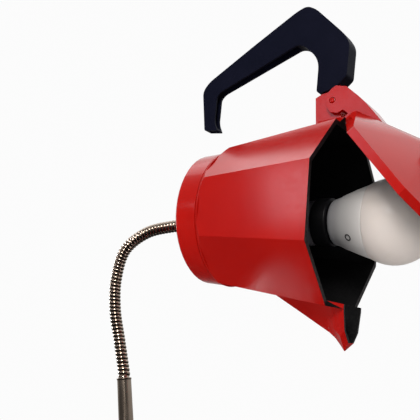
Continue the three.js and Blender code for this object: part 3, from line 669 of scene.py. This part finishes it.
def build_hose():
    """The ribbed hose, in pieces that each span one hinge, from mid-link to mid-link."""
    marks, xs, zs = hose_path()
    tangents = np.stack([np.gradient(xs), np.gradient(zs)], 1)
    tangents /= np.linalg.norm(tangents, axis=1)[:, None]
    mids = [(0.5 * (a[0] + b[0]), 0.5 * (a[1] + b[1])) for a, b in zip(NECK, NECK[1:])]
    cuts = [0] + [int(np.argmin((xs - x) ** 2 + (zs - z) ** 2)) for x, z in mids] + [len(marks) - 1]
    for n in range(len(cuts) - 1):
        bm = bmesh.new()
        rings = []
        for i in range(cuts[n], cuts[n + 1] + 1):
            ring = []
            normal = (-tangents[i][1], tangents[i][0])
            for k in range(HOSE_SIDES):
                turn = 2 * math.pi * k / HOSE_SIDES
                wave = abs(math.sin(math.pi * marks[i] / RIB_PITCH - turn / 2))
                radius = HOSE_RADIUS - RIB_DEPTH * (1 - wave) ** 1.5
                across = radius * math.cos(turn)
                ring.append(bm.verts.new((
                    xs[i] + normal[0] * across, radius * math.sin(turn), zs[i] + normal[1] * across)))
            rings.append(ring)
        for first, second in zip(rings, rings[1:]):
            for k in range(HOSE_SIDES):
                j = (k + 1) % HOSE_SIDES
                bm.faces.new((first[k], first[j], second[j], second[k]))
        bm.faces.new(list(reversed(rings[0])))
        bm.faces.new(rings[-1])
        low = HOSE_START if n == 0 else mids[n - 1]
        high = mids[n] if n < len(mids) else (xs[-1], zs[-1])
        start = Vector((low[0], 0, low[1])) * MM
        end = Vector((high[0], 0, high[1])) * MM
        replaced = ("neck_link_%d" % (n + 1),) if n < NECK_LINKS else ()
        finish_mesh("hose_%d" % (n + 1), bm, ROW, NICKEL, None, replaced,
                    blended=(NECK_BODIES[n], NECK_BODIES[n + 1], start, end))


build_hose()

# ---- stem and base ----

turned_piece("stem_tube", [
    (3.2, 66), (5.0, 66), (5.0, 99.6), (5.1, 103.3), (4.6, 163.4), (4.75, 164.1), (4.9, 164.4),
    (4.9, 164.8), (4.5, 165.0), (3.2, 165.0),
], ROW, DRAWN, "base", ("stem",), 64, 0.15)
turned_piece("stem_flange", [
    (5.3, 90.6), (12, 90.6), (12, 92.7), (8.6, 94.5), (7.4, 98.3), (6.6, 99.3), (5.3, 99.3),
], ROW, DRAWN, "base", ("stem_collar",), 96, 0.5)


def build_boiler():
    """The base: the pot's own boiler, eight facets under a turned shoulder and neck."""
    bm = from_node("boiler", ROW)
    finish_mesh("boiler_shell", bm, ROW, RED, "base", ("boiler",), bevel=0.9)


build_boiler()

KNURLS = 120
KNURL_DEPTH = 0.45
BAND_RADIUS = 39.0
BAND_BOTTOM = 79.5
BAND_TOP = 87.0


def build_cap():
    """The turned cap over the boiler's neck, with a knurled band."""
    profile = rounded([
        (5.3, 86.3), (35.3, 86.3), (35.3, 77.0), (38.9, 77.0), (39.3, 77.6), (39.3, 79.2), (38.7, 79.2),
        (38.7, 79.8), (39.3, 79.8), (39.3, 86.8), (38.7, 86.8), (38.7, 87.4), (39.3, 87.4), (39.3, 88.6),
        (38.0, 90.1), (22.0, 90.3), (5.3, 90.3),
    ], 0.3, 2)
    bm = lathe(profile, KNURLS * 2)
    for vertex in bm.verts:
        radius = math.hypot(vertex.co.x, vertex.co.y)
        tooth = round(math.atan2(vertex.co.y, vertex.co.x) / (math.pi / KNURLS)) % 2
        if radius > BAND_RADIUS and BAND_BOTTOM < vertex.co.z < BAND_TOP and tooth:
            vertex.co.xy *= (radius - KNURL_DEPTH) / radius
    finish_mesh("cap_shell", bm, ROW, TURNED, "base", ("base_cap",))


build_cap()

# ---- small parts that keep their CAD shape ----

KEPT = {
    "hinge_pin": RED, "handle_pin": STEEL, "lid_knob_screw": STEEL, "nipple_washer": STEEL,
    "base_bolt": STEEL, "stem_washer": STEEL, "bulb_screw_cap": STEEL, "gasket": RUBBER,
    "foot_pad": RUBBER, "filter_plate": TURNED, "threaded_nipple": BRASS, "nipple_nut": BRASS,
    "stem_nut": BRASS, "thread_sleeve": BRASS, "centre_contact": BRASS, "bulb_tip": BRASS,
    "cable_gland": BRASS, "gland_nut": BRASS, "lampholder_cap": DARK_GLOSS,
    "lampholder_core": CERAMIC, "bulb_insulator": DARK_GLOSS, "led_board": BOARD,
    "led_driver": BOARD, "ballast": IRON, "neck_end_fitting": NICKEL, "lid_knob": BAKELITE,
}


def dress(node, material):
    """Gives a CAD node its material, joined corners and softened edges."""
    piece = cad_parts[node]
    piece.data.materials.clear()
    piece.data.materials.append(material)
    weld = piece.modifiers.new("weld", "WELD")
    weld.merge_threshold = JOIN_WITHIN * MM
    soften(piece, width=0.25, angle=32, segments=2)
    for polygon in piece.data.polygons:
        polygon.use_smooth = True


for kept_node, kept_material in KEPT.items():
    dress(kept_node, kept_material)

# ---- floor, light and camera ----

FLOOR_HALF = 3.0
LIT_POINT = (0.14, 0.0, 0.25)
ROOM_LOW = 0.02
ROOM_HIGH = 1.15
ROOM_NEAR = 0.22
ROOM_FAR = 1.0
WALL_SEEN = 0.97
CAMERA_PLACE = (0.3143, -0.3941, 0.1329)
CAMERA_TURN = (105.903, 4.459, 32.392)  # degrees, about x, then y, then z
SENSOR = 36.0
LENS = 63.686


def build_stage():
    """A flat, pale floor that glossy surfaces don't mirror."""
    material, tree, bsdf = new_material("plaster")
    fine = noise(tree, 90.0, detail=5.0, roughness=0.6)
    tree.links.new(ramp(tree, fine.outputs["Fac"], rgb(0.62, 0.62, 0.62), rgb(0.66, 0.66, 0.655)),
                   bsdf.inputs["Base Color"])
    bsdf.inputs["Roughness"].default_value = 0.9
    bump(tree, bsdf, fine.outputs["Fac"], strength=0.15, distance=0.001)
    bm = bmesh.new()
    quarters = ((-1, -1), (1, -1), (1, 1), (-1, 1))
    bm.faces.new([bm.verts.new((x * FLOOR_HALF, y * FLOOR_HALF, 0)) for x, y in quarters])
    mesh = bpy.data.meshes.new("floor")
    bm.to_mesh(mesh)
    bm.free()
    floor = bpy.data.objects.new("floor", mesh)
    mesh.materials.append(material)
    bpy.context.scene.collection.objects.link(floor)
    floor.visible_glossy = False


def add_light(name, place, size, power, colour, mirrored=True):
    """A rectangular light aimed at the head; glossy surfaces show it only if it is mirrored."""
    data = bpy.data.lights.new(name, "AREA")
    data.shape = "RECTANGLE"
    data.size, data.size_y = size
    data.energy = power
    data.color = colour
    light = bpy.data.objects.new(name, data)
    light.location = place
    light.rotation_euler = (Vector(LIT_POINT) - Vector(place)).to_track_quat("-Z", "Y").to_euler()
    light.visible_glossy = mirrored
    bpy.context.scene.collection.objects.link(light)


def eased(tree, source, low, high, start, end):
    """Maps a value from low to high smoothly onto start to end."""
    node = add_node(tree, "ShaderNodeMapRange", interpolation_type="SMOOTHSTEP")
    for socket, value in (("From Min", low), ("From Max", high), ("To Min", start), ("To Max", end)):
        node.inputs[socket].default_value = value
    tree.links.new(source, node.inputs["Value"])
    return node.outputs["Result"]


def build_world():
    """The room's light: strong from above and behind the lamp, weak from below and from the camera's side.

    The camera itself sees one even tone instead.
    """
    world = bpy.data.worlds.new("room")
    bpy.context.scene.world = world
    world.use_nodes = True
    tree = world.node_tree
    background = tree.nodes["Background"]
    direction = add_node(tree, "ShaderNodeTexCoord")
    split = add_node(tree, "ShaderNodeSeparateXYZ")
    tree.links.new(direction.outputs["Generated"], split.inputs["Vector"])
    product = add_node(tree, "ShaderNodeMath", operation="MULTIPLY")
    tree.links.new(eased(tree, split.outputs["Z"], -0.6, 0.9, ROOM_LOW, ROOM_HIGH), product.inputs[0])
    tree.links.new(eased(tree, split.outputs["Y"], -0.5, 0.3, ROOM_NEAR, ROOM_FAR), product.inputs[1])
    seen = add_node(tree, "ShaderNodeLightPath")
    strength = add_node(tree, "ShaderNodeMix", data_type="FLOAT")
    tree.links.new(seen.outputs["Is Camera Ray"], strength.inputs["Factor"])
    tree.links.new(product.outputs["Value"], strength.inputs["A"])
    strength.inputs["B"].default_value = WALL_SEEN
    tree.links.new(strength.outputs["Result"], background.inputs["Strength"])
    background.inputs["Color"].default_value = rgb(1.0, 1.0, 1.0)


def build_lights():
    """Two small panes for the facets to mirror, a rim light from the handle's side and three soft lights."""
    add_light("window", (-0.395, -0.70, 0.545), (0.12, 0.10), 0.20, (1.0, 0.88, 0.97))
    add_light("bracket_glow", (-0.11, -0.82, 0.61), (0.16, 0.18), 0.24, (1.0, 0.84, 0.98))
    add_light("rim", (-1.1, 0.15, 0.62), (0.22, 0.22), 9.0, (1.0, 0.98, 0.98))
    add_light("fill", (-0.75, -1.0, 0.05), (0.3, 0.3), 1.6, (1.0, 0.93, 0.88), mirrored=False)
    add_light("key", (0.55, -1.1, 0.75), (0.45, 0.45), 13.0, (1.0, 0.97, 0.94))
    add_light("sky", (-0.2, 0.1, 1.4), (0.7, 0.7), 1.8, (1.0, 0.94, 0.97))


def build_camera():
    """The viewpoint and the lens."""
    data = bpy.data.cameras.new("camera")
    data.sensor_fit = "HORIZONTAL"
    data.sensor_width = SENSOR
    data.lens = LENS
    data.clip_start = 0.01
    data.clip_end = 20.0
    camera = bpy.data.objects.new("camera", data)
    camera.location = CAMERA_PLACE
    camera.rotation_euler = [math.radians(angle) for angle in CAMERA_TURN]
    bpy.context.scene.collection.objects.link(camera)
    bpy.context.scene.camera = camera


build_stage()
build_world()
build_lights()
build_camera()

bpy.context.scene.view_settings.view_transform = "Standard"
